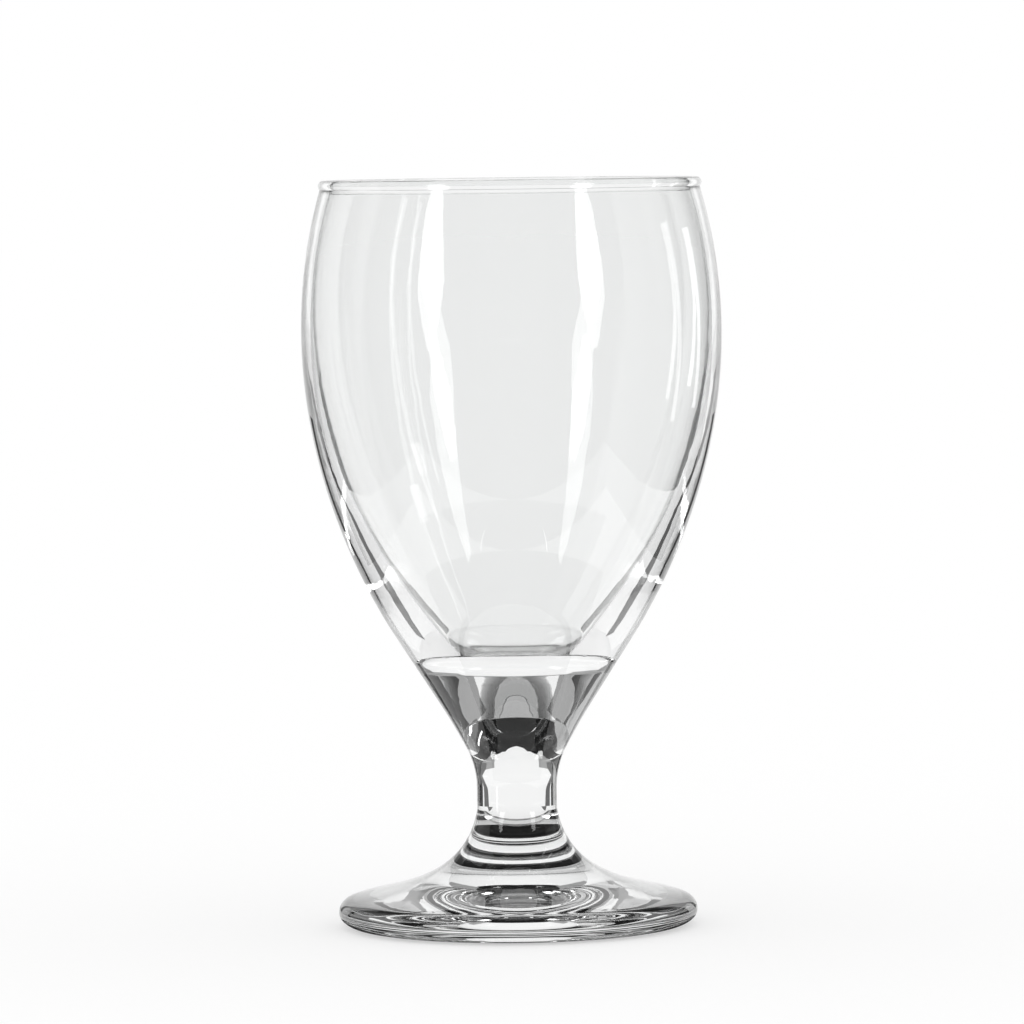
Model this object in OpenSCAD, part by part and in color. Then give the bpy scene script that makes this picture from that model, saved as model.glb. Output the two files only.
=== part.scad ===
// Water goblet: a footed stem glass of clear glass, made of three gathers
// (bowl, stem and foot) that are joined hot. Every piece is a turned form, so each
// one is an outline in the plane of radius and height, swept once round the axis.
// The origin is on the axis, in the plane that the glass stands on.

/* [Foot] */
// Diameter of the foot
foot_d = 69.2; // [54:0.2:90]
// Height of the foot's widest line above the table
foot_edge_h = 2.9; // [1.5:0.1:4]
// How far the edge curves in underneath, from the widest line to the resting ring
foot_edge_in = 5; // [2:0.1:6]
// Radius of the rounded top of the edge
foot_edge_r = 2.9; // [1:0.1:4]
// Slope of the upper face just inside the edge, in degrees
foot_slope = 19; // [8:1:25]
// Height of the foot, up to its joint with the stem
foot_h = 22.6; // [16:0.1:30]
// Lean of the foot's side where it meets the stem, in degrees
foot_lean = 10.5; // [2:0.5:20]
// Width of the flat ring that the glass rests on
rest_w = 2.2; // [1:0.1:5]
// Rise of the shallow hollow under the foot, at its centre
hollow_h = 2.4; // [0.5:0.1:4]

/* [Stem] */
// Diameter of the straight shank
shank_d = 15.4; // [10:0.1:20]
// Length of the shank, from the joint with the foot up to the flare
shank_len = 4; // [0.4:0.1:80]
// Radius of the flare that leads up into the bowl, seen from the side
flare_r = 17; // [10:0.5:30]
// Lean of the flare's side at the joint with the bowl, in degrees
flare_lean = 27.3; // [18:0.1:28.5]

/* [Bowl] */
// Lean of the solid cone at the bottom of the bowl, in degrees
cone_angle = 32.7; // [30:0.1:38]
// Height over which the side turns from the stem's flare to the cone
neck_h = 8.2; // [2:0.1:14]
// Height from the joint with the stem up to where the side starts to curve in
cone_h = 21.7; // [16:0.1:28]
// Diameter of the bowl at its belly
belly_d = 80.8; // [74:0.2:96]
// Height from the top of the cone up to the belly
belly_h = 58.5; // [46:0.2:90]
// Height from the belly up to the top of the rim
shoulder_h = 29.3; // [18:0.2:60]
// Outside diameter of the wall where it meets the bead of the rim
lip_d = 73; // [60:0.1:80]

/* [Glass] */
// Thickness of the wall under the bead
lip_wall = 1.45; // [1:0.05:1.8]
// Thickness of the wall at the belly
belly_wall = 1.7; // [1.2:0.05:3.5]
// How far the widest line inside lies above the belly outside
inner_rise = 3.8; // [0:0.2:10]
// Diameter of the round bead that the flame leaves at the rim
bead_d = 2.1; // [1.9:0.1:3]
// Solid glass between the joint with the stem and the middle of the bowl's floor
floor_t = 19.1; // [15:0.1:24]
// Diameter of the floor inside the bowl
floor_d = 27; // [14:0.2:29]
// How much lower the middle of the floor lies than its edge
floor_dip = 1.4; // [0.2:0.1:4]
// Radius of the corner between the floor and the wall
floor_r = 0.7; // [0.3:0.1:6]
// Lean of the inside wall just above that corner, in degrees
heel_angle = 42; // [36:1:50]

/* [Hidden] */
glass = [0.86, 0.91, 0.93, 0.45];

// Facets of a full turn, and points along a long and a short curve of an outline
$fn = 180;
long_steps = 24;
short_steps = 8;

// Pull of the two ends of each free curve, as shares of the distance between them
foot_edge_pull_share = 0.3;
foot_stem_pull_share = 0.475;
cone_pull_share = 0.233;
heel_pull_share = 0.48;

// Most that a curve of the wall is pulled out of its width, and along its length
start_most_share = 0.93;
belly_most_share = 0.7;

// Heights of the joints and of the main lines of the outline
stem_z = foot_h;
shank_z = stem_z + shank_len;
bowl_z = shank_z + flare_r * sin(flare_lean);
cone_z = bowl_z + cone_h;
belly_z = cone_z + belly_h;
rim_z = belly_z + shoulder_h;
floor_z = bowl_z + floor_t;

// Radius of the joint of stem and bowl, of the neck above it, and of the top of the cone
joint_r = shank_d / 2 + flare_r * (1 - cos(flare_lean));
neck_r = neck_h / (sin(cone_angle) - sin(flare_lean));
cone_r = joint_r + neck_r * (cos(flare_lean) - cos(cone_angle)) + (cone_h - neck_h) * tan(cone_angle);

// The bead of the rim: its centre, and how far round it the wall runs into it
bead_r = bead_d / 2;
bead_x = lip_d / 2 - lip_wall / 2;
bead_z = rim_z - bead_r;
bead_angle = acos(lip_wall / bead_d);
lip_z = bead_z - bead_r * sin(bead_angle);

// A direction that leans out from the axis by an angle
function lean(angle) = [sin(angle), cos(angle)];

// Points on an ellipse about a centre, from one angle to another
function arc(centre, radii, from, to, steps) = [
    for (i = [0 : steps])
        let (a = from + (to - from) * i / steps)
        centre + [radii[0] * cos(a), radii[1] * sin(a)]
];

// Points on the smooth curve that leaves a along one direction and reaches b along another,
// each direction pulling by its share of the distance
function sweep(a, a_dir, a_share, b, b_dir, b_share, steps) =
    let (
        reach = norm(b - a),
        p = a + a_dir * reach * a_share,
        q = b - b_dir * reach * b_share
    )
    [
        for (i = [0 : steps])
            let (t = i / steps, u = 1 - t)
            a * u * u * u + p * 3 * u * u * t + q * 3 * u * t * t + b * t * t * t
    ];

// Points on one face of the wall, from a point under the belly out to the belly, and from there
// on to the lip on a round shoulder that the lower curve meets with the shoulder's own curvature.
// Both pulls of the lower curve stay within its own width and length, so a narrow belly or a
// straight shoulder gives a plain curve too.
function wall_face(start, start_angle, start_share, belly, r_lip) =
    let (
        rise = lip_z - belly[1],
        inset = belly[0] - r_lip,
        radius = (rise * rise + inset * inset) / (2 * inset),
        turn = asin(rise / radius),
        reach = norm(belly - start),
        width = belly[0] - start[0],
        start_out = min(sin(start_angle) * start_share * reach, start_most_share * width),
        belly_pull = min(sqrt((width - start_out) * abs(radius) * 2 / 3), belly_most_share * reach)
    )
    concat(sweep(start, lean(start_angle), start_out / sin(start_angle) / reach,
                 belly, lean(0), belly_pull / reach, long_steps),
           after_first(arc([belly[0] - radius, belly[1]], [radius, radius], 0, turn, short_steps)));

function reversed(points) = [for (i = [len(points) - 1 : -1 : 0]) points[i]];

// Points without their first one, which the curve before them already holds
function after_first(points) = [for (i = [1 : len(points) - 1]) points[i]];

// Outside of the bowl, from the joint with the stem up to the bead
function bowl_outside() =
    let (
        neck_centre = [joint_r + neck_r * cos(flare_lean), bowl_z - neck_r * sin(flare_lean)],
        neck = arc(neck_centre, [neck_r, neck_r], 180 - flare_lean, 180 - cone_angle, short_steps)
    )
    concat(neck, wall_face([cone_r, cone_z], cone_angle, cone_pull_share, [belly_d / 2, belly_z], lip_d / 2));

// Inside of the bowl, from the axis out over the floor and up to the bead
function bowl_inside() =
    let (
        half = floor_d / 2,
        dish_r = (half * half + floor_dip * floor_dip) / (2 * floor_dip),
        turn = asin(half / dish_r),
        dish = arc([0, floor_z + dish_r], [dish_r, dish_r], -90, turn - 90, short_steps),
        corner_centre = dish[short_steps] + [-floor_r * sin(turn), floor_r * cos(turn)],
        corner = arc(corner_centre, [floor_r, floor_r], turn - 90, -heel_angle, short_steps),
        inner_belly = [belly_d / 2 - belly_wall, belly_z + inner_rise]
    )
    concat(dish, after_first(corner),
           after_first(wall_face(corner[short_steps], heel_angle, heel_pull_share,
                                 inner_belly, lip_d / 2 - lip_wall)));

// Bead of the rim, over the top from the outside of the wall to its inside
function bead() = arc([bead_x, bead_z], [bead_r, bead_r], -bead_angle, 180 + bead_angle, 2 * short_steps);

// Bowl with its tapering wall, solid cone and beaded rim
module bowl() {
    color(glass)
    rotate_extrude()
    polygon(concat([[0, bowl_z]], bowl_outside(), after_first(bead()),
                   after_first(reversed(bowl_inside()))));
}

// Stem: a straight shank that flares out into the bowl
module stem() {
    flare = arc([shank_d / 2 + flare_r, shank_z], [flare_r, flare_r], 180, 180 - flare_lean, short_steps);
    color(glass)
    rotate_extrude()
    polygon(concat([[0, stem_z], [shank_d / 2, stem_z]], flare, [[0, bowl_z]]));
}

// Foot: a disc with a rounded edge that sweeps up to the stem, with a shallow hollow underneath
module foot() {
    rest_r = foot_d / 2 - foot_edge_in;
    hollow_r = rest_r - rest_w;
    dome_r = (hollow_r * hollow_r + hollow_h * hollow_h) / (2 * hollow_h);
    edge_x = foot_d / 2 - foot_edge_r;
    hollow = arc([0, hollow_h - dome_r], [dome_r, dome_r], 90, acos(hollow_r / dome_r), short_steps);
    under_edge = arc([rest_r, foot_edge_h], [foot_edge_in, foot_edge_h], -90, 0, short_steps);
    over_edge = arc([edge_x, foot_edge_h], [foot_edge_r, foot_edge_r], 0, 90 - foot_slope, short_steps);
    flare = sweep(over_edge[short_steps], [-cos(foot_slope), sin(foot_slope)], foot_edge_pull_share,
                  [shank_d / 2, stem_z], lean(-foot_lean), foot_stem_pull_share, long_steps);
    color(glass)
    rotate_extrude()
    polygon(concat(hollow, under_edge, after_first(over_edge), after_first(flare), [[0, stem_z]]));
}

bowl();
stem();
foot();
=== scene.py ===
import math

import bmesh
import bpy
from bpy.props import FloatProperty, FloatVectorProperty, IntProperty, PointerProperty
from mathutils import Matrix, Vector


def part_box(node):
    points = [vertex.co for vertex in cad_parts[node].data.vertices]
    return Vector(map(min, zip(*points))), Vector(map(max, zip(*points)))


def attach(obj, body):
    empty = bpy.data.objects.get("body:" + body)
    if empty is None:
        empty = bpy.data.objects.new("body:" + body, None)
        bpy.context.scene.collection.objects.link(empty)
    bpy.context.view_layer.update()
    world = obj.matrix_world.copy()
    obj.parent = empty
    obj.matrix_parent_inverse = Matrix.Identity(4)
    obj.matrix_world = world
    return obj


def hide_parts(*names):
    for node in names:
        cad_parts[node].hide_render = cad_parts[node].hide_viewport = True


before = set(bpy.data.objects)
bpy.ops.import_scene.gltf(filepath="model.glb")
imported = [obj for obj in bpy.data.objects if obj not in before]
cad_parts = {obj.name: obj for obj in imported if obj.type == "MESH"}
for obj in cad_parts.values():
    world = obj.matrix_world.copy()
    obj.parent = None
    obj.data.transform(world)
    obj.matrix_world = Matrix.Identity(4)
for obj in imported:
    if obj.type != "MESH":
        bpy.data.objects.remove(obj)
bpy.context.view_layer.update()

bl_info = {
    "name": "Water Goblet",
    "version": (1, 0, 0),
    "blender": (4, 5, 0),
    "location": "View3D > Sidebar > Goblet",
    "description": "Clear footed water goblet, turned in three pieces, with its studio",
    "category": "Add Mesh",
}

MM = 0.001

# Two points of an outline that are closer than this are at the same place
TOUCH = 1e-7
# Most that a piece may stand above or below its CAD node
FIT = 0.2 * MM
# Edges that turn by more than this stay sharp
CREASE = math.radians(26)
# Height over which the wear of the resting ring fades
RING_HEIGHT = 0.05 * MM
# Facing values between which the edge tint sets in, a painted shade that darkens the glass where it is seen
# along its face
EDGE_SHADE_FACING = (0.75, 0.81)
# Noise values between which handling marks set in
SMUDGE = (0.5, 0.75)
# Height of the ripples at full strength, and share of the fine ones among them
RIPPLE_DEPTH = 2.0 * MM
FINE_RIPPLE = 0.12
# Share of the paper's brightness that the light on it gives, so that shadows show in it
LIT_SHARE = 0.5
# How far the paper lies under the foot, and how far the mats lie above the foot's plane
PAPER_DROP = 0.05 * MM
MAT_HEIGHT = 0.4 * MM
# Half the width of the space between the side walls, and their height
WALL = 0.15
WALL_TOP = 0.3
# Half the width between the small flags that stand beside the foot
FLAG = 0.07
# Distance of the tall lights from the axis, and of the low light beside the stem
FAR = 1.5
NEAR = 0.14
# Distance of the thin lights that stand close to the right of the bowl
CLOSE = 0.069


def length(name, description, default, low=0.0, high=0.3):
    """A length in metres that the sidebar shows in the scene's units."""
    return FloatProperty(name=name, description=description, default=default, min=low, max=high,
                         precision=4, subtype="DISTANCE", unit="LENGTH")


def angle(name, description, degrees, low=-180, high=180):
    """An angle that the sidebar shows in degrees."""
    return FloatProperty(name=name, description=description, default=math.radians(degrees),
                         min=math.radians(low), max=math.radians(high), subtype="ANGLE", unit="ROTATION")


def share(name, description, default):
    """A plain factor from 0 to 1."""
    return FloatProperty(name=name, description=description, default=default, min=0.0, max=1.0,
                         precision=3, subtype="FACTOR")


class GobletFoot(bpy.types.PropertyGroup):
    """Sizes of the foot."""

    across: length("Diameter", "Diameter of the foot", 69.2 * MM)
    edge_height: length("Edge height", "Height of the widest line above the table", 2.9 * MM)
    edge_inset: length("Edge inset", "How far the edge curves in underneath", 5.0 * MM)
    edge_round: length("Edge radius", "Radius of the rounded top of the edge", 2.9 * MM)
    slope: angle("Slope", "Slope of the upper face just inside the edge", 19, 0, 45)
    height: length("Height", "Height of the foot up to the joint with the stem", 22.6 * MM)
    joint_lean: angle("Joint lean", "Lean of the side where it meets the stem", 10.5, 0, 45)
    ring_width: length("Ring width", "Width of the flat ring that the glass rests on", 2.2 * MM)
    hollow: length("Hollow", "Rise of the hollow underneath, at its centre", 2.4 * MM)
    edge_pull: share("Edge pull", "Pull of the upper face's curve at the edge", 0.30)
    stem_pull: share("Stem pull", "Pull of the upper face's curve at the stem", 0.475)


class GobletStem(bpy.types.PropertyGroup):
    """Sizes of the stem."""

    across: length("Diameter", "Diameter of the straight shank", 15.4 * MM)
    shank: length("Shank", "Length of the straight shank", 4.0 * MM)
    flare: length("Flare radius", "Radius of the flare that leads up into the bowl", 17.0 * MM)
    joint_lean: angle("Joint lean", "Lean of the side at the joint with the bowl", 27.3, 0, 60)


class GobletBowl(bpy.types.PropertyGroup):
    """Sizes of the bowl and of its wall."""

    cone_lean: angle("Cone lean", "Lean of the solid cone at the bottom", 32.7, 0, 60)
    neck: length("Neck", "Height over which the side turns from the flare to the cone", 8.2 * MM)
    cone: length("Cone height", "Height up to where the side starts to curve in", 21.7 * MM)
    belly_across: length("Belly", "Diameter at the belly", 80.8 * MM)
    belly: length("Belly height", "Height from the top of the cone to the belly", 58.5 * MM)
    shoulder: length("Shoulder height", "Height from the belly to the top of the rim", 29.3 * MM)
    lip_across: length("Lip", "Outside diameter of the wall under the bead", 73.0 * MM)
    lip_wall: length("Lip wall", "Thickness of the wall under the bead", 1.45 * MM)
    belly_wall: length("Belly wall", "Thickness of the wall at the belly", 1.7 * MM)
    inner_rise: length("Inner belly rise", "How far the widest line inside lies above the belly", 3.8 * MM)
    bead: length("Bead", "Diameter of the bead at the rim", 2.1 * MM)
    bottom: length("Bottom", "Solid glass under the middle of the bowl's floor", 19.1 * MM)
    floor_across: length("Floor", "Diameter of the floor inside", 27.0 * MM)
    floor_dip: length("Floor dip", "How much lower the middle of the floor lies than its edge", 1.4 * MM)
    floor_round: length("Floor radius", "Radius of the corner between floor and wall", 0.7 * MM)
    heel_lean: angle("Heel lean", "Lean of the inside wall just above the corner", 42, 0, 80)
    cone_pull: share("Cone pull", "Pull of the outside curve at the cone", 0.233)
    heel_pull: share("Heel pull", "Pull of the inside curve at the heel", 0.48)


class GobletGlass(bpy.types.PropertyGroup):
    """Finish of the glass."""

    tint: FloatVectorProperty(name="Tint", description="Colour of the clear glass", subtype="COLOR", size=3,
                              default=(0.985, 0.99, 0.988), min=0.0, max=1.0)
    # Edge tint is painted shade: a grey that the glass takes where it is seen along its face, standing in for
    # the dark edges that dark surroundings give
    edge: FloatVectorProperty(name="Edge tint", description="Colour where the glass is seen along its face",
                              subtype="COLOR", size=3, default=(0.33, 0.335, 0.334), min=0.0, max=1.0)
    index: FloatProperty(name="Index", description="How strongly the glass bends light", default=1.52,
                         min=1.3, max=1.9)
    ripple: share("Ripple", "Strength of the faint unevenness of the fire polished faces", 0.08)
    smudge: share("Smudges", "Roughness that handling leaves on the glass", 0.015)
    wear: share("Ring wear", "Roughness of the ring that the glass rests on", 0.35)
    segments: IntProperty(name="Segments", description="Facets of a full turn", default=180, min=24, max=512)


class GobletStudio(bpy.types.PropertyGroup):
    """Camera, floor and light."""

    distance: FloatProperty(name="Camera distance", description="Distance of the camera from the axis",
                            default=1.3, min=0.3, max=10.0, subtype="DISTANCE", unit="LENGTH")
    eye: length("Camera height", "Height of the camera above the table", 0.152, 0, 3)
    aim: length("Aim height", "Height on the axis at the middle of the picture", 0.0798, 0, 3)
    roll: angle("Roll", "Turn of the camera about its line of sight", 0.7)
    lens: FloatProperty(name="Lens", description="Focal length in millimetres", default=238.0, min=20, max=800)
    shift: FloatProperty(name="Shift", description="Sideways shift of the picture", default=-0.0015,
                         min=-0.1, max=0.1)
    paper: FloatVectorProperty(name="Paper", description="Colour of the floor", subtype="COLOR", size=3,
                               default=(0.92, 0.92, 0.92), min=0.0, max=1.0)


# Outlines, as points of radius and height


def lean(turn):
    """Direction that leans out from the axis by an angle."""
    return Vector((math.sin(turn), math.cos(turn)))


def arc(centre, radii, start, end, steps):
    """Points on an ellipse from one angle to another, in degrees."""
    turns = [math.radians(start + (end - start) * i / steps) for i in range(steps + 1)]
    return [Vector((centre[0] + radii[0] * math.cos(t), centre[1] + radii[1] * math.sin(t))) for t in turns]


def sweep(a, a_dir, a_share, b, b_dir, b_share, steps):
    """Points on the smooth curve that leaves a along one direction and reaches b along another."""
    reach = (b - a).length
    p, q = a + a_dir * reach * a_share, b - b_dir * reach * b_share
    out = []
    for i in range(steps + 1):
        t = i / steps
        u = 1 - t
        out.append(a * u ** 3 + p * 3 * u * u * t + q * 3 * u * t * t + b * t ** 3)
    return out


def foot_outline(foot, stem, steps):
    """Foot, from the axis underneath, round the edge and up to the joint with the stem."""
    ring = foot.across / 2 - foot.edge_inset
    hollow = ring - foot.ring_width
    dome = (hollow ** 2 + foot.hollow ** 2) / (2 * foot.hollow)
    slope = math.degrees(foot.slope)
    under = arc((0, foot.hollow - dome), (dome, dome), 90, math.degrees(math.acos(hollow / dome)), steps)
    edge = arc((ring, foot.edge_height), (foot.edge_inset, foot.edge_height), -90, 0, steps)
    over = arc((foot.across / 2 - foot.edge_round, foot.edge_height), (foot.edge_round,) * 2,
               0, 90 - slope, steps)
    flare = sweep(over[-1], Vector((-math.cos(foot.slope), math.sin(foot.slope))), foot.edge_pull,
                  Vector((stem.across / 2, foot.height)), lean(-foot.joint_lean), foot.stem_pull, 4 * steps)
    return under + edge + over[1:] + flare[1:] + [Vector((0, foot.height))]


def bowl_base(foot, stem):
    """Radius and height of the joint of stem and bowl."""
    radius = stem.across / 2 + stem.flare * (1 - math.cos(stem.joint_lean))
    return radius, foot.height + stem.shank + stem.flare * math.sin(stem.joint_lean)


def stem_outline(foot, stem, steps):
    """Stem, from its lower joint up the shank and the flare to its upper joint."""
    top = bowl_base(foot, stem)[1]
    shank = [Vector((stem.across / 2, foot.height + stem.shank * i / 4)) for i in range(4)]
    flare = arc((stem.across / 2 + stem.flare, foot.height + stem.shank), (stem.flare,) * 2, 180,
                180 - math.degrees(stem.joint_lean), 2 * steps)
    return [Vector((0, foot.height))] + shank + flare + [Vector((0, top))]


def side(start, start_lean, start_pull, belly, lip, steps):
    """Side of the bowl from a point under the belly, out to the belly and in again to the lip.
    The lower curve meets the round shoulder with the shoulder's own curvature."""
    rise, inset = lip.y - belly.y, belly.x - lip.x
    radius = (rise ** 2 + inset ** 2) / (2 * inset)
    reach = (belly - start).length
    gap = belly.x - start.x - math.sin(start_lean) * start_pull * reach
    belly_pull = math.sqrt(gap * radius * 2 / 3) / reach
    lower = sweep(start, lean(start_lean), start_pull, belly, lean(0), belly_pull, 3 * steps)
    turn = math.degrees(math.asin(rise / radius))
    return lower + arc((belly.x - radius, belly.y), (radius, radius), 0, turn, steps)[1:]


def bowl_outline(foot, stem, bowl, steps):
    """Bowl, from the joint up the outside, over the bead and down the inside to the axis."""
    joint_r, joint_z = bowl_base(foot, stem)
    bend = bowl.neck / (math.sin(bowl.cone_lean) - math.sin(stem.joint_lean))
    centre = (joint_r + bend * math.cos(stem.joint_lean), joint_z - bend * math.sin(stem.joint_lean))
    neck = arc(centre, (bend, bend), 180 - math.degrees(stem.joint_lean),
               180 - math.degrees(bowl.cone_lean), steps)
    cone_z = joint_z + bowl.cone
    cone = Vector((neck[-1].x + (cone_z - neck[-1].y) * math.tan(bowl.cone_lean), cone_z))
    straight = [neck[-1].lerp(cone, i / 6) for i in range(1, 6)]
    belly = Vector((bowl.belly_across / 2, cone_z + bowl.belly))
    inner_belly = belly + Vector((-bowl.belly_wall, bowl.inner_rise))
    half = bowl.bead / 2
    bead_at = (bowl.lip_across / 2 - bowl.lip_wall / 2, belly.y + bowl.shoulder - half)
    wrap = math.acos(bowl.lip_wall / bowl.bead)
    lip_z = bead_at[1] - half * math.sin(wrap)
    bead = arc(bead_at, (half, half), -math.degrees(wrap), 180 + math.degrees(wrap), 2 * steps)
    lip = Vector((bowl.lip_across / 2, lip_z))
    outer = side(cone, bowl.cone_lean, bowl.cone_pull, belly, lip, 2 * steps)
    floor_z = joint_z + bowl.bottom
    half_floor = bowl.floor_across / 2
    dish = (half_floor ** 2 + bowl.floor_dip ** 2) / (2 * bowl.floor_dip)
    turn = math.asin(half_floor / dish)
    floor = arc((0, floor_z + dish), (dish, dish), -90, -90 + math.degrees(turn), steps)
    corner = arc((half_floor - bowl.floor_round * math.sin(turn),
                  floor_z + bowl.floor_dip + bowl.floor_round * math.cos(turn)), (bowl.floor_round,) * 2,
                 -90 + math.degrees(turn), -math.degrees(bowl.heel_lean), steps)
    inner_lip = lip - Vector((bowl.lip_wall, 0))
    inner = side(corner[-1], bowl.heel_lean, bowl.heel_pull, inner_belly, inner_lip, 2 * steps)
    inside = floor[:-1] + corner + inner[1:-1]
    return [Vector((0, joint_z))] + neck + straight + outer[:-1] + bead + inside[::-1]


def turned(name, outline, segments, joints):
    """Sweeps an outline round the axis. The flat faces at the joints get the second material."""
    bm = bmesh.new()
    rings = []
    turns = [math.tau * i / segments for i in range(segments)]
    for r, z in outline:
        if r < TOUCH:
            rings.append([bm.verts.new((0, 0, z))])
        else:
            rings.append([bm.verts.new((r * math.cos(t), r * math.sin(t), z)) for t in turns])
    pairs = list(zip(rings, rings[1:]))
    if len(rings[0]) > 1:
        pairs.append((rings[-1], rings[0]))
    for low, high in pairs:
        level = low[0].co.z
        flat = (len(low) == 1 or len(high) == 1) and abs(level - high[0].co.z) < TOUCH
        at_joint = flat and any(abs(level - z) < TOUCH for z in joints)
        for i in range(segments):
            j = (i + 1) % segments
            corners = [low[i % len(low)], low[j % len(low)], high[j % len(high)], high[i % len(high)]]
            face = bm.faces.new([v for k, v in enumerate(corners) if v not in corners[:k]])
            face.smooth = True
            face.material_index = 1 if at_joint else 0
    bm.normal_update()
    for edge in bm.edges:
        if len(edge.link_faces) == 2 and edge.calc_face_angle() > CREASE:
            edge.smooth = False
    mesh = bpy.data.meshes.new(name)
    bm.to_mesh(mesh)
    bm.free()
    piece = bpy.data.objects.new(name, mesh)
    bpy.context.scene.collection.objects.link(piece)
    return piece


# Materials


def add(tree, kind, at=(0, 0), **values):
    """Adds a node and sets its properties and its named inputs."""
    node = tree.nodes.new(kind)
    node.location = at
    for key, value in values.items():
        if key in node.inputs:
            node.inputs[key].default_value = value
        else:
            setattr(node, key, value)
    return node


def new_group(name, inputs, outputs):
    """An empty shader node group with named number sockets."""
    group = bpy.data.node_groups.new(name, "ShaderNodeTree")
    for label, value in inputs:
        socket = group.interface.new_socket(label, in_out="INPUT", socket_type="NodeSocketFloat")
        socket.default_value = value
    for label in outputs:
        group.interface.new_socket(label, in_out="OUTPUT", socket_type="NodeSocketFloat")
    return group, add(group, "NodeGroupInput", (-900, 0)), add(group, "NodeGroupOutput", (900, 0))


def ripple_group():
    """Height of the faint, broad unevenness that fire polish leaves."""
    group, start, end = new_group("Fire polish ripple", [("Broad", 28.0), ("Fine", 130.0)], ["Height"])
    place = add(group, "ShaderNodeTexCoord", (-900, -300))
    broad = add(group, "ShaderNodeTexNoise", (-400, 200), Detail=1.0, Roughness=0.4)
    fine = add(group, "ShaderNodeTexNoise", (-400, -200), Detail=2.0, Roughness=0.5)
    scaled = add(group, "ShaderNodeMath", (0, -200), operation="MULTIPLY")
    scaled.inputs[1].default_value = FINE_RIPPLE
    total = add(group, "ShaderNodeMath", (300, 0), operation="ADD")
    links = group.links
    links.new(place.outputs["Object"], broad.inputs["Vector"])
    links.new(place.outputs["Object"], fine.inputs["Vector"])
    links.new(start.outputs["Broad"], broad.inputs["Scale"])
    links.new(start.outputs["Fine"], fine.inputs["Scale"])
    links.new(fine.outputs["Fac"], scaled.inputs[0])
    links.new(broad.outputs["Fac"], total.inputs[0])
    links.new(scaled.outputs[0], total.inputs[1])
    links.new(total.outputs[0], end.inputs["Height"])
    return group


def smudge_group():
    """Mask of the patchy marks that handling and wiping leave."""
    group, start, end = new_group("Handling marks", [("Size", 45.0)], ["Mask"])
    place = add(group, "ShaderNodeTexCoord", (-900, -300))
    patches = add(group, "ShaderNodeTexNoise", (-400, 0), Detail=4.0, Roughness=0.6, Distortion=0.4)
    spread = add(group, "ShaderNodeMapRange", (0, 0), interpolation_type="SMOOTHSTEP")
    spread.inputs["From Min"].default_value, spread.inputs["From Max"].default_value = SMUDGE
    links = group.links
    links.new(place.outputs["Object"], patches.inputs["Vector"])
    links.new(start.outputs["Size"], patches.inputs["Scale"])
    links.new(patches.outputs["Fac"], spread.inputs["Value"])
    links.new(spread.outputs["Result"], end.inputs["Mask"])
    return group


def shared_group(name, maker):
    """The node group of that name, made the first time it is asked for."""
    return bpy.data.node_groups.get(name) or maker()


def clear_glass(name, finish, ring_height=0.0):
    """Clear glass with faint ripple and handling marks, a painted dark edge where it is seen along its face,
    and with a worn resting ring where it has one.
    """
    material = bpy.data.materials.new(name)
    material.use_nodes = True
    tree = material.node_tree
    tree.nodes.clear()
    out = add(tree, "ShaderNodeOutputMaterial", (700, 0))
    glass = add(tree, "ShaderNodeBsdfPrincipled", (400, 0))
    # Painted shade: where the glass is seen along its face, its colour turns to the grey edge tint, standing in
    # for the dark edges that dark surroundings give
    facing = add(tree, "ShaderNodeLayerWeight", (-800, 700), Blend=0.5)
    edge = add(tree, "ShaderNodeMapRange", (-500, 700), interpolation_type="SMOOTHSTEP")
    edge.inputs["From Min"].default_value, edge.inputs["From Max"].default_value = EDGE_SHADE_FACING
    colour = add(tree, "ShaderNodeMix", (-200, 700), data_type="RGBA")
    colour.inputs[6].default_value = (*finish.tint, 1)
    colour.inputs[7].default_value = (*finish.edge, 1)
    tree.links.new(facing.outputs["Facing"], edge.inputs["Value"])
    tree.links.new(edge.outputs["Result"], colour.inputs[0])
    tree.links.new(colour.outputs[2], glass.inputs["Base Color"])
    glass.inputs["Metallic"].default_value = 0.0
    glass.inputs["Transmission Weight"].default_value = 1.0
    glass.inputs["IOR"].default_value = finish.index
    ripple = add(tree, "ShaderNodeGroup", (-400, -300))
    ripple.node_tree = shared_group("Fire polish ripple", ripple_group)
    bump = add(tree, "ShaderNodeBump", (0, -300))
    bump.inputs["Strength"].default_value = finish.ripple
    bump.inputs["Distance"].default_value = RIPPLE_DEPTH
    marks = add(tree, "ShaderNodeGroup", (-400, 100))
    marks.node_tree = shared_group("Handling marks", smudge_group)
    rough = add(tree, "ShaderNodeMath", (0, 100), operation="MULTIPLY")
    rough.inputs[1].default_value = finish.smudge
    links = tree.links
    links.new(ripple.outputs["Height"], bump.inputs["Height"])
    links.new(bump.outputs["Normal"], glass.inputs["Normal"])
    links.new(marks.outputs["Mask"], rough.inputs[0])
    roughness = rough.outputs[0]
    if ring_height:
        place = add(tree, "ShaderNodeTexCoord", (-800, 400))
        parts = add(tree, "ShaderNodeSeparateXYZ", (-600, 400))
        worn = add(tree, "ShaderNodeMapRange", (-300, 400))
        worn.inputs["From Min"].default_value = ring_height
        worn.inputs["From Max"].default_value = 0.0
        worn.inputs["To Max"].default_value = finish.wear
        both = add(tree, "ShaderNodeMath", (200, 200), operation="MAXIMUM")
        links.new(place.outputs["Object"], parts.inputs[0])
        links.new(parts.outputs["Z"], worn.inputs["Value"])
        links.new(worn.outputs["Result"], both.inputs[0])
        links.new(roughness, both.inputs[1])
        roughness = both.outputs[0]
    links.new(roughness, glass.inputs["Roughness"])
    links.new(glass.outputs[0], out.inputs["Surface"])
    return material


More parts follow.
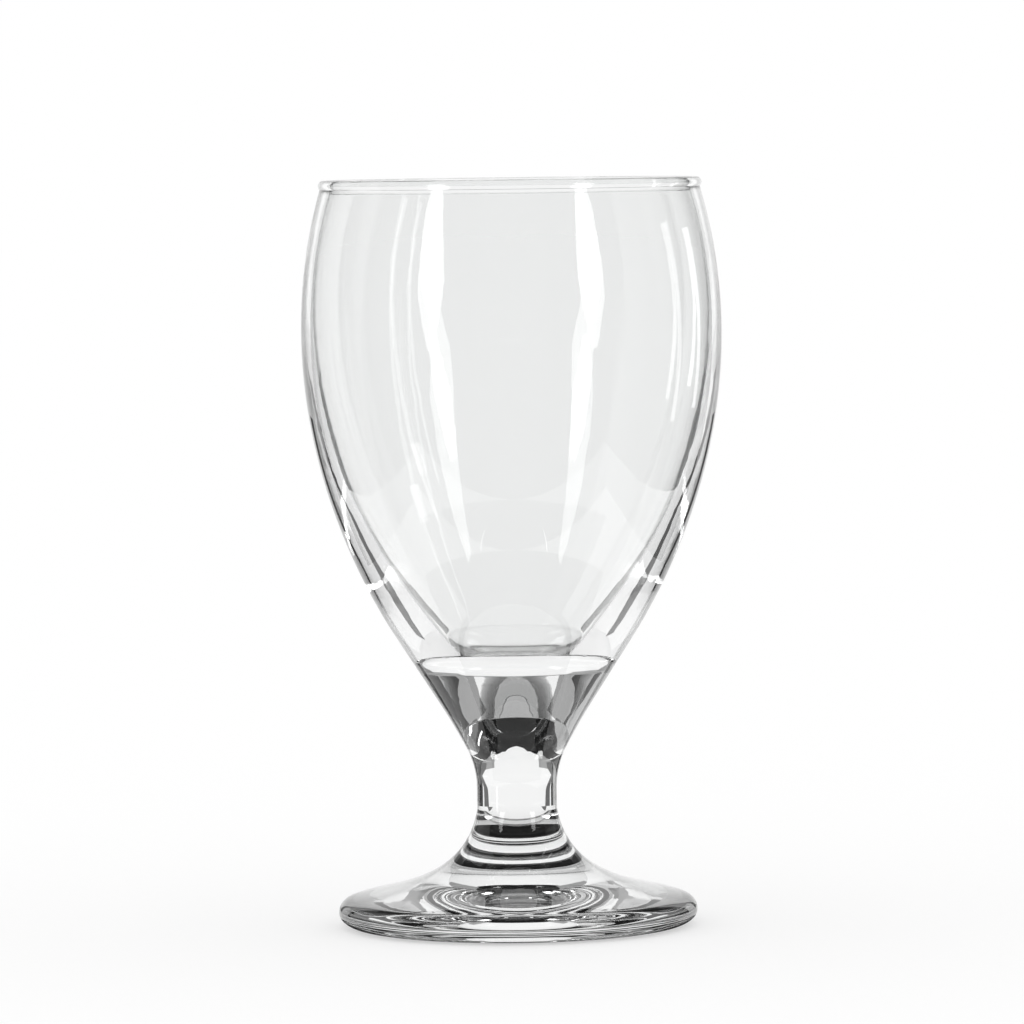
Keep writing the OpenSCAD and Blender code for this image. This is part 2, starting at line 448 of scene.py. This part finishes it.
def fused_joint():
    """Nothing shows where two gathers are fused, so the flat faces inside the glass are clear away."""
    material = bpy.data.materials.get("Fused joint")
    if material:
        return material
    material = bpy.data.materials.new("Fused joint")
    material.use_nodes = True
    shader = material.node_tree.nodes["Principled BSDF"]
    shader.inputs["Alpha"].default_value = 0.0
    return material


def settle(piece, node, materials):
    """Gives a piece its materials and puts it in the place of its CAD node."""
    for material in materials:
        piece.data.materials.append(material)
    low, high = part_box(node)
    reach = max(c for v in piece.data.vertices for c in (v.co.z - high[2], low[2] - v.co.z))
    if reach > FIT:
        raise RuntimeError(f"{piece.name} stands {reach / MM:.2f} mm outside its CAD node")
    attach(piece, "root")
    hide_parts(node)


class GOBLET_OT_foot(bpy.types.Operator):
    """Make the foot with its rounded edge, its sweep up to the stem and its hollow underneath"""

    bl_idname = "goblet.make_foot"
    bl_label = "Foot"

    def execute(self, context):
        scene = context.scene
        outline = foot_outline(scene.goblet_foot, scene.goblet_stem, steps=16)
        piece = turned("Goblet_foot", outline, scene.goblet_glass.segments, [scene.goblet_foot.height])
        settle(piece, "foot",
               [clear_glass("Foot glass", scene.goblet_glass, RING_HEIGHT), fused_joint()])
        return {"FINISHED"}


class GOBLET_OT_stem(bpy.types.Operator):
    """Make the stem with its straight shank and its flare"""

    bl_idname = "goblet.make_stem"
    bl_label = "Stem"

    def execute(self, context):
        scene = context.scene
        foot, stem = scene.goblet_foot, scene.goblet_stem
        joints = [foot.height, bowl_base(foot, stem)[1]]
        outline = stem_outline(foot, stem, steps=12)
        piece = turned("Goblet_stem", outline, scene.goblet_glass.segments, joints)
        settle(piece, "stem", [clear_glass("Stem glass", scene.goblet_glass), fused_joint()])
        return {"FINISHED"}


class GOBLET_OT_bowl(bpy.types.Operator):
    """Make the bowl with its solid cone, its tapering wall and its beaded rim"""

    bl_idname = "goblet.make_bowl"
    bl_label = "Bowl"

    def execute(self, context):
        scene = context.scene
        foot, stem, bowl = scene.goblet_foot, scene.goblet_stem, scene.goblet_bowl
        outline = bowl_outline(foot, stem, bowl, steps=12)
        piece = turned("Goblet_bowl", outline, scene.goblet_glass.segments, [bowl_base(foot, stem)[1]])
        settle(piece, "bowl", [clear_glass("Bowl glass", scene.goblet_glass), fused_joint()])
        return {"FINISHED"}


# Studio


def glow(name, colour, strength=1.0):
    """A plain luminous surface."""
    material = bpy.data.materials.new(name)
    material.use_nodes = True
    tree = material.node_tree
    tree.nodes.clear()
    light = add(tree, "ShaderNodeEmission", (0, 0), Color=(*colour, 1), Strength=strength)
    tree.links.new(light.outputs[0], add(tree, "ShaderNodeOutputMaterial", (200, 0)).inputs["Surface"])
    return material


def seen_by_glass(tree, at):
    """One for the rays that show a background: the camera's, and those that glass and gloss send on."""
    path = add(tree, "ShaderNodeLightPath", at)
    first = add(tree, "ShaderNodeMath", (at[0] + 200, at[1]), operation="MAXIMUM")
    second = add(tree, "ShaderNodeMath", (at[0] + 400, at[1]), operation="MAXIMUM")
    tree.links.new(path.outputs["Is Camera Ray"], first.inputs[0])
    tree.links.new(path.outputs["Is Glossy Ray"], first.inputs[1])
    tree.links.new(first.outputs[0], second.inputs[0])
    tree.links.new(path.outputs["Is Transmission Ray"], second.inputs[1])
    return second.outputs[0]


def paper_floor(studio):
    """Pale paper that keeps the shadow of the glass."""
    bpy.ops.mesh.primitive_grid_add(x_subdivisions=4, y_subdivisions=4, size=16,
                                    location=(0, 0, -PAPER_DROP))
    floor = bpy.context.active_object
    floor.name = "Studio_floor"
    material = bpy.data.materials.new("White paper")
    material.use_nodes = True
    tree = material.node_tree
    tree.nodes.clear()
    out = add(tree, "ShaderNodeOutputMaterial", (800, 0))
    paper = add(tree, "ShaderNodeBsdfDiffuse", (200, 100), Color=(*[c * LIT_SHARE for c in studio.paper], 1))
    white = add(tree, "ShaderNodeEmission", (200, -100), Color=(1, 1, 1, 1))
    level = add(tree, "ShaderNodeMath", (0, -200), operation="MULTIPLY")
    level.inputs[1].default_value = 1 - studio.paper[0] * LIT_SHARE
    both = add(tree, "ShaderNodeAddShader", (500, 0))
    tree.links.new(seen_by_glass(tree, (-700, -200)), level.inputs[0])
    tree.links.new(level.outputs[0], white.inputs["Strength"])
    tree.links.new(paper.outputs[0], both.inputs[0])
    tree.links.new(white.outputs[0], both.inputs[1])
    tree.links.new(both.outputs[0], out.inputs["Surface"])
    floor.data.materials.append(material)


def white_world():
    """Even white light from everywhere."""
    world = bpy.data.worlds.new("White cove")
    bpy.context.scene.world = world
    world.use_nodes = True
    shade = world.node_tree.nodes["Background"]
    shade.inputs["Color"].default_value = (1, 1, 1, 1)
    shade.inputs["Strength"].default_value = 1.0


def board(name, corners, faces, material, rig):
    """A card of flat faces between corners, in metres from the foot of the axis. Only the glass shows it."""
    mesh = bpy.data.meshes.new(name)
    mesh.from_pydata(corners, [], faces)
    mesh.materials.append(material)
    piece = bpy.data.objects.new(name, mesh)
    bpy.context.scene.collection.objects.link(piece)
    piece.parent = rig
    piece.visible_camera = piece.visible_diffuse = piece.visible_shadow = False
    return piece


def ladder(count):
    """Faces of a band whose corners come in pairs, one pair after the other."""
    return [(2 * i, 2 * i + 1, 2 * i + 3, 2 * i + 2) for i in range(count - 1)]


def card(name, bearings, heights, material, rig, radius=3.0, drop=0.0):
    """Part of a round wall about the glass, between two bearings and two elevations in degrees.
    Bearing 0 is straight behind the glass as the camera sees it, and 90 is to its right.
    The lower edge falls by the drop towards the ends."""
    facet = 3
    across = max(2, round(abs(bearings[1] - bearings[0]) / facet))
    up = max(2, round(abs(heights[1] - heights[0]) / facet))
    corners = []
    for j in range(up + 1):
        for i in range(across + 1):
            low = heights[0] - drop * abs(2 * i / across - 1)
            turn = math.radians(bearings[0] + (bearings[1] - bearings[0]) * i / across)
            rise = math.radians(low + (heights[1] - low) * j / up)
            corners.append((radius * math.cos(rise) * math.sin(turn), radius * math.cos(rise) * math.cos(turn),
                            radius * math.sin(rise)))
    row = across + 1
    faces = [(k, k + row, k + row + 1, k + 1) for j in range(up) for k in range(j * row, j * row + across)]
    board(name, corners, faces, material, rig)


def strip(name, rows, radius, material, rig):
    """A strip that stands on a circle about the glass. Each row gives its height and two bearings."""
    corners = [(radius * math.sin(math.radians(turn)), radius * math.cos(math.radians(turn)), height)
               for height, *turns in rows for turn in turns]
    board(name, corners, ladder(len(rows)), material, rig)


def mat(name, inner, outer, bearings, material, rig):
    """A flat sector of card that lies on the paper, between two radii and two bearings in degrees."""
    steps = 36
    turns = [math.radians(bearings[0] + (bearings[1] - bearings[0]) * i / steps) for i in range(steps + 1)]
    corners = [(r * math.sin(t), r * math.cos(t), MAT_HEIGHT) for t in turns for r in (inner, outer)]
    return board(name, corners, ladder(steps + 1), material, rig)


def upright(name, x, near, far, material, rig, bottom=0.0, top=WALL_TOP):
    """A card that stands on the line at one x, from the near y to the far y."""
    corners = [(x, near, bottom), (x, far, bottom), (x, far, top), (x, near, top)]
    board(name, corners, [(0, 1, 2, 3)], material, rig)


def aimed_camera(scene, studio):
    """The scene's camera, in front of the glass and a little above it."""
    lens = bpy.data.cameras.new("Camera")
    lens.lens = studio.lens
    lens.sensor_width = 36
    lens.shift_x = studio.shift
    lens.clip_start, lens.clip_end = 0.01, 100
    camera = bpy.data.objects.new("Camera", lens)
    scene.collection.objects.link(camera)
    scene.camera = camera
    camera.location = (0, -studio.distance, studio.eye)
    sight = Vector((0, studio.distance, studio.aim - studio.eye))
    level = sight.to_track_quat("-Z", "Y").to_matrix()
    camera.rotation_euler = (Matrix.Rotation(studio.roll, 3, sight) @ level).to_euler()
    return camera


def dark_cards(rig, black):
    """Cards out of the picture that give the glass its dark edges and the grey of its solid cone."""
    grey = glow("Ceiling grey", (0.38, 0.38, 0.38))
    left = glow("Left wall", (0.5, 0.5, 0.5))
    right = glow("Right wall", (0.18, 0.18, 0.18))
    card("Studio_flag_high", (-180, 180), (47, 66), black, rig)
    card("Studio_flag_back", (-60, 60), (36, 48), black, rig, radius=2.9, drop=7)
    card("Studio_ceiling", (-95, 95), (66, 90), grey, rig)
    card("Studio_side_left", (-60, -23), (16, 36), grey, rig, radius=2.8)
    card("Studio_side_right", (23, 60), (16, 36), grey, rig, radius=2.8)
    card("Studio_dark_top", (95, 265), (66, 90), black, rig)
    card("Studio_dark_room", (100, 260), (-6, 47), black, rig, radius=2.6)
    upright("Studio_flag_right", WALL, 0.14, 0.075, black, rig)
    upright("Studio_wall_right", WALL, 0.075, -0.03, right, rig)
    upright("Studio_flag_left", -WALL, 0.14, 0.115, black, rig)
    upright("Studio_wall_left", -WALL, 0.115, -0.03, left, rig)
    upright("Studio_dark_right", WALL, -0.03, -0.1, black, rig)
    upright("Studio_dark_left", -WALL, -0.03, -0.1, black, rig)
    reach, front, height = 2.4, -0.1, 0.5 * MM
    table = [(-reach, front, height), (reach, front, height), (reach, -reach, height), (-reach, -reach, height)]
    board("Studio_dark_table", table, [(0, 1, 2, 3)], black, rig)


def bowl_flags(rig, grey):
    """Small cards beside and behind the foot that draw the inner line of the bowl's wall."""
    # Height, and where the flag starts and ends behind the axis
    rows = [(0.0, 0.085, 0.125), (0.02, 0.077, 0.1), (0.045, 0.06, 0.073), (0.06, 0.069, 0.095),
            (0.07, 0.073, 0.105), (0.09, 0.07, 0.11)]
    # Share of the flag's distance from the axis, and place behind the axis
    lying = [(0.64, 0.074), (1, 0.085), (1, 0.13), (0.64, 0.1)]
    for hand, x in (("left", -FLAG), ("right", FLAG)):
        board("Studio_bowl_flag_" + hand, [(x, y, z) for z, *ends in rows for y in ends],
              ladder(len(rows)), grey, rig)
        board("Studio_bowl_mat_" + hand, [(x * r, y, MAT_HEIGHT) for r, y in lying], [(0, 1, 2, 3)], grey, rig)


def foot_mats(rig, black):
    """Dark card on the paper, seen only through the glass, which gives the foot and the shank their black
    rings: painted shadow under the middle of the foot and under its overhanging edge, and a dark sector in
    front of the foot that joins the dark table.
    """
    # Painted shadow: black sheets under the middle of the foot and in a ring under its overhanging edge, where
    # shade falls under the foot
    mat("Studio_painted_shadow_mat", 0.0, 0.01, (0, 360), black, rig).location = (0, 0.0115, 0)
    mat("Studio_edge_shadow_mat", 0.0305, 0.036, (0, 360), black, rig)
    mat("Studio_front_mat", 0.036, 0.1, (110, 250), black, rig)


def tall_lights(rig):
    """Lights beside the camera, which the glass shows as long highlights."""
    light = glow("Softbox", (1, 1, 1), 4.0)
    faint = glow("Softbox edge", (1, 1, 1), 2.5)
    strip("Studio_softbox_left", [(0, -134, -137), (0.3, -128, -143), (0.5, -128, -142),
                                  (0.82, -128, -138.5), (1.05, -130, -136)], FAR, light, rig)
    strip("Studio_softbox_right", [(0, 133, 136), (0.3, 128, 142), (0.5, 128, 142),
                                   (0.83, 129, 139.5), (1.05, 131, 137)], FAR, light, rig)
    strip("Studio_softbox_stem", [(0.001, -119, -125), (0.028, -119, -125)], NEAR, faint, rig)
    strip("Studio_softbox_thin", [(0, -113.5, -114.5), (0.45, -113, -115)], FAR, faint, rig)
    upright("Studio_strip_right_1460", CLOSE, -0.0165, -0.0135, faint, rig, bottom=0.088, top=0.146)
    upright("Studio_strip_right_1419", CLOSE, 0.002, 0.006, faint, rig, bottom=0.093, top=0.142)


class GOBLET_OT_studio(bpy.types.Operator):
    """Set the camera, the paper floor, the white light and the cards that give glass its dark edges"""

    bl_idname = "goblet.make_studio"
    bl_label = "Studio"

    def execute(self, context):
        studio = context.scene.goblet_studio
        camera = aimed_camera(context.scene, studio)
        paper_floor(studio)
        white_world()
        # The cards and lights hang on one empty, which turns with the camera about the vertical
        rig = bpy.data.objects.new("Studio_rig", None)
        context.scene.collection.objects.link(rig)
        follow = rig.constraints.new("COPY_ROTATION")
        follow.target = camera
        follow.use_x = follow.use_y = False
        black = glow("Black velvet", (0.012, 0.012, 0.012))
        dark_cards(rig, black)
        bowl_flags(rig, glow("Edge grey", (0.15, 0.15, 0.15)))
        foot_mats(rig, black)
        tall_lights(rig)
        context.scene.view_settings.view_transform = "Standard"
        # Light passes many faces of glass before it leaves the goblet
        cycles = context.scene.cycles
        cycles.max_bounces, cycles.transmission_bounces, cycles.glossy_bounces = 32, 32, 24
        cycles.transparent_max_bounces = 32
        return {"FINISHED"}


class GOBLET_PT_panel(bpy.types.Panel):
    """Sizes and finish of the goblet and its studio"""

    bl_idname = "GOBLET_PT_panel"
    bl_label = "Water Goblet"
    bl_space_type = "VIEW_3D"
    bl_region_type = "UI"
    bl_category = "Goblet"

    def draw(self, context):
        for operator, group in (("goblet.make_foot", "goblet_foot"), ("goblet.make_stem", "goblet_stem"),
                                ("goblet.make_bowl", "goblet_bowl"), (None, "goblet_glass"),
                                ("goblet.make_studio", "goblet_studio")):
            box = self.layout.box()
            values = getattr(context.scene, group)
            for key in values.__annotations__:
                box.prop(values, key)
            if operator:
                box.operator(operator)


GROUPS = {
    "goblet_foot": GobletFoot,
    "goblet_stem": GobletStem,
    "goblet_bowl": GobletBowl,
    "goblet_glass": GobletGlass,
    "goblet_studio": GobletStudio,
}
CLASSES = (*GROUPS.values(), GOBLET_OT_foot, GOBLET_OT_stem, GOBLET_OT_bowl, GOBLET_OT_studio, GOBLET_PT_panel)


def register():
    """Adds the sizes, the operators and the panel."""
    for cls in CLASSES:
        bpy.utils.register_class(cls)
    for name, cls in GROUPS.items():
        setattr(bpy.types.Scene, name, PointerProperty(type=cls))


def unregister():
    """Takes away the panel, the operators and the sizes."""
    for name in GROUPS:
        delattr(bpy.types.Scene, name)
    for cls in reversed(CLASSES):
        bpy.utils.unregister_class(cls)


def main():
    """Makes the glass and its studio."""
    register()
    bpy.ops.goblet.make_foot()
    bpy.ops.goblet.make_stem()
    bpy.ops.goblet.make_bowl()
    bpy.ops.goblet.make_studio()


if __name__ == "__main__":
    main()
